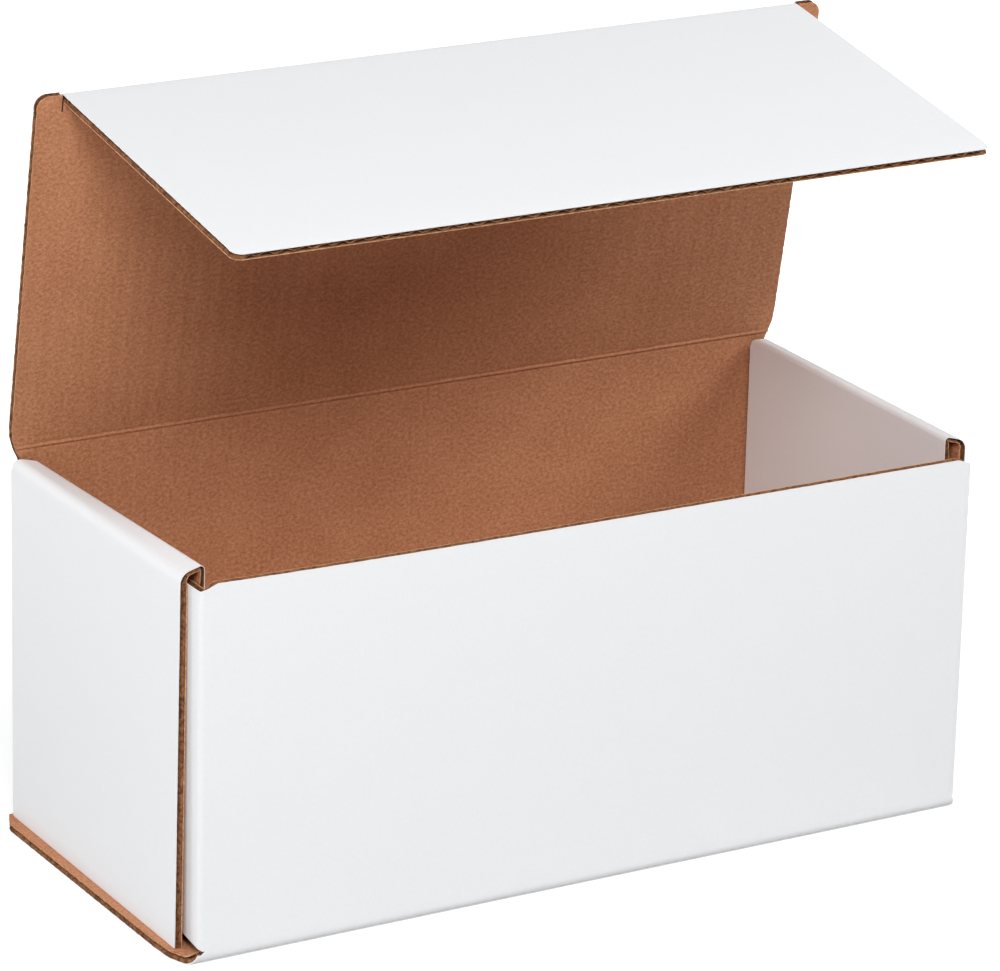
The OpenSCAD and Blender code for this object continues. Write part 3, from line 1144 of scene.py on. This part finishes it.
def floor_material():
    """Nearly white to the camera, greyer to bounced light, and glowing more further out."""
    nodes = Nodes("floor_white")
    nodes.link(1.0, "Roughness")
    nodes.link(0.0, "Specular IOR Level")
    path = nodes.plain("ShaderNodeLightPath")
    seen = nodes.math("ADD", path.outputs["Is Camera Ray"], path.outputs["Is Glossy Ray"])
    seen = nodes.math("ADD", seen, path.outputs["Is Transmission Ray"])
    seen = nodes.math("MINIMUM", seen, 1.0)
    grey = nodes.math("ADD", FLOOR_TONE, nodes.math("MULTIPLY", seen, FLOOR_SEEN))
    nodes.link(grey, "Base Color")
    place = nodes.plain("ShaderNodeTexCoord")
    far = nodes.plain("ShaderNodeVectorMath")
    far.operation = "LENGTH"
    nodes.connect(place.outputs["Object"], far.inputs[0])
    spread = nodes.add("ShaderNodeMapRange", Value=far.outputs["Value"], From_Min=0.25,
                       From_Max=0.6, To_Min=0.45, To_Max=1.0)
    nodes.link((1, 1, 1, 1), "Emission Color")
    nodes.link(nodes.math("MULTIPLY", seen, spread.outputs["Result"]), "Emission Strength")
    return nodes.material


def make_stage():
    """A white floor that keeps the box's shadow."""
    size = FLOOR_HALF
    mesh = bpy.data.meshes.new("floor")
    mesh.from_pydata([(-size, -size, 0), (size, -size, 0), (size, size, 0), (-size, size, 0)],
                     [], [(0, 1, 2, 3)])
    mesh.materials.append(floor_material())
    floor = bpy.data.objects.new("floor", mesh)
    bpy.context.scene.collection.objects.link(floor)


def make_world():
    """A sky that is white to the camera and nearly dark to everything else."""
    world = bpy.data.worlds.new("studio")
    bpy.context.scene.world = world
    world.use_nodes = True
    tree = world.node_tree
    background = tree.nodes["Background"]
    background.inputs["Color"].default_value = (1, 1, 1, 1)
    path = tree.nodes.new("ShaderNodeLightPath")
    mix = tree.nodes.new("ShaderNodeMix")
    mix.inputs["A"].default_value = WORLD_GLOW
    mix.inputs["B"].default_value = 1.0
    tree.links.new(path.outputs["Is Camera Ray"], mix.inputs["Factor"])
    tree.links.new(mix.outputs["Result"], background.inputs["Strength"])


# Where the lamps look and how far they stand, in metres
LAMP_TARGET = Vector((0, 0, 0.12))
LAMP_DISTANCE = 1.6


def softbox(name, azimuth, elevation, power, size=0.7):
    """A square lamp that looks at the middle of the box, with its side in metres."""
    lamp = bpy.data.lights.new(name, "AREA")
    lamp.shape = "SQUARE"
    lamp.size = size
    lamp.energy = power
    made = bpy.data.objects.new(name, lamp)
    bpy.context.scene.collection.objects.link(made)
    a, e = math.radians(azimuth), math.radians(elevation)
    back = Vector((math.sin(a) * math.cos(e), -math.cos(a) * math.cos(e), math.sin(e)))
    made.location = LAMP_TARGET + back * LAMP_DISTANCE
    made.rotation_euler = (-back).to_track_quat("-Z", "Y").to_euler()


def make_lights():
    """Soft lamps round the box: the strong ones stand in front of it, the others fill in."""
    softbox("lamp_left_back", -122, 24, power=7.4, size=0.5)
    softbox("lamp_left", -78, 15, power=4.4)
    softbox("lamp_front_left", -32, 37, power=16.0)
    softbox("lamp_front_right", 60, 37, power=12.6)
    softbox("lamp_right", 95, 30, power=3.4)
    softbox("lamp_top", 0, 75, power=1.8)


# The photograph's camera, solved from the box's own corners
CAMERA_PLACE = Vector((-879.5, -1488.0, 720.5))
CAMERA_ALONG = Vector((0.48064, 0.81281, -0.32912))
CAMERA_RIGHT = Vector((0.86470, -0.50174, 0.02365))
FOCAL_PIXELS = 5493.2
PHOTO_WIDTH = 1000
SENSOR = 36.0


def make_camera():
    """The camera at the photograph's place and angle."""
    data = bpy.data.cameras.new("camera")
    data.sensor_fit = "AUTO"
    data.sensor_width = SENSOR
    data.lens = FOCAL_PIXELS * SENSOR / PHOTO_WIDTH
    data.clip_start, data.clip_end = 0.05, 200.0
    camera = bpy.data.objects.new("camera", data)
    bpy.context.scene.collection.objects.link(camera)
    ahead = CAMERA_ALONG.normalized()
    right = (CAMERA_RIGHT - ahead * CAMERA_RIGHT.dot(ahead)).normalized()
    up = right.cross(ahead)
    turn = Matrix((right, up, -ahead)).transposed().to_4x4()
    camera.matrix_world = Matrix.Translation(CAMERA_PLACE * MM) @ turn
    bpy.context.scene.camera = camera


make_camera()
build_box()
make_stage()
make_world()
make_lights()
bpy.context.scene.view_settings.view_transform = "Standard"
